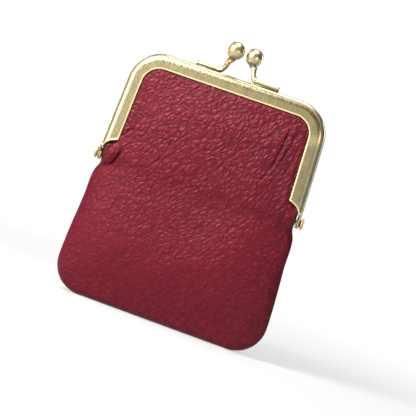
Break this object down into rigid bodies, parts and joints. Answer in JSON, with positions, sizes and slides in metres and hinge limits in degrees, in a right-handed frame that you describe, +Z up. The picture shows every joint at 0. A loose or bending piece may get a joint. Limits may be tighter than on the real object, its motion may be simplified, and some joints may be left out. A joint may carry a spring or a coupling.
{
  "type": "coin purse",
  "caption": "Soft leather pouch held in a hinged, arched metal frame that shuts with two crossing clasp balls.",
  "frame": {"origin": "middle of the pouch's flat base, where the purse stands", "axes": "+Z up from the base to the clasp, -Y out of the front face, +X along the frame's hinge axis"},
  "size_m": [0.0894, 0.0156, 0.1164],
  "materials": {
    "frame_metal": "antique brass, brushed, with dark patina in the recesses",
    "clasp_metal": "antique brass, satin, polished by wear",
    "rivet_metal": "antique brass, satin",
    "leather": "burgundy pebbled leather, semi-matt",
    "lining": "dark woven cloth",
    "paper_cord": "twisted kraft paper",
    "thread": "twisted sewing thread"
  },
  "bodies": {
    "pouch": {"front_leather_lower": "leather", "back_leather_lower": "leather", "front_lining_lower": "lining", "back_lining_lower": "lining", "front_leather_fold": "leather", "back_leather_fold": "leather", "leather_seam_thread": "thread", "lining_seam_thread": "thread", "left_hinge_rivet": "rivet_metal", "right_hinge_rivet": "rivet_metal"},
    "front_half": {"front_frame": "frame_metal", "front_clasp_arm": "clasp_metal", "front_clasp_ball": "clasp_metal", "front_leather_upper": "leather", "front_lining_upper": "lining", "front_paper_cord": "paper_cord"},
    "back_half": {"back_frame": "frame_metal", "back_clasp_arm": "clasp_metal", "back_clasp_ball": "clasp_metal", "back_leather_upper": "leather", "back_lining_upper": "lining", "back_paper_cord": "paper_cord"}
  },
  "joints": [
    {"name": "front_frame_hinge", "type": "hinge", "parent": "pouch", "child": "front_half", "pos_m": [0, 0, 0.0565], "axis": [1, 0, 0], "range_deg": [0, 45], "deforming": ["front_leather_fold"]},
    {"name": "back_frame_hinge", "type": "hinge", "parent": "pouch", "child": "back_half", "pos_m": [0, 0, 0.0565], "axis": [1, 0, 0], "range_deg": [-45, 0], "deforming": ["back_leather_fold"]}
  ],
  "couplings": [
    {"joint": "back_frame_hinge", "follows": "front_frame_hinge", "ratio": -1}
  ]
}
